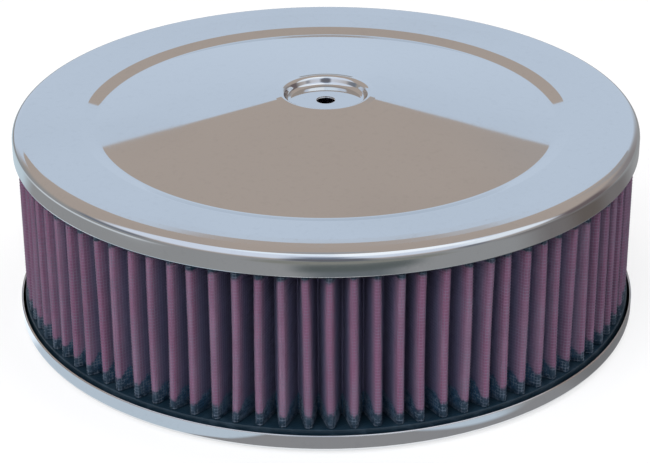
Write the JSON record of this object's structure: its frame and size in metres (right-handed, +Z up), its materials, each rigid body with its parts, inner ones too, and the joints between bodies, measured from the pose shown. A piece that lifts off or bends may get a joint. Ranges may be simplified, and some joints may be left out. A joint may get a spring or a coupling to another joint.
{
  "type": "flame arrestor",
  "caption": "Round open-element engine flame arrestor: chromed pressed lid, pleated gauze and wire screen element, and chromed pressed base with a turned neck.",
  "frame": {"origin": "middle of the base's underside, on the axis that all the pieces share", "axes": "+Z up along the axis, from the base to the lid; X and Y are any two directions across it"},
  "size_m": [0.3574, 0.3574, 0.1294],
  "materials": {
    "chrome_plate": "polished chrome plate on pressed steel sheet",
    "oiled_gauze": "woven cotton gauze, wetted with maroon oil",
    "coated_wire": "fine woven wire with a thin coating, stained by the oil",
    "moulded_ring": "dark moulded polyurethane, satin",
    "gasket_rubber": "matt black rubber"
  },
  "bodies": {
    "root": {"top_plate": "chrome_plate", "base_plate": "chrome_plate", "pleated_gauze": "oiled_gauze", "outer_screen": "coated_wire", "inner_screen": "coated_wire", "upper_end_ring": "moulded_ring", "lower_end_ring": "moulded_ring", "neck_gasket": "gasket_rubber"}
  },
  "joints": []
}
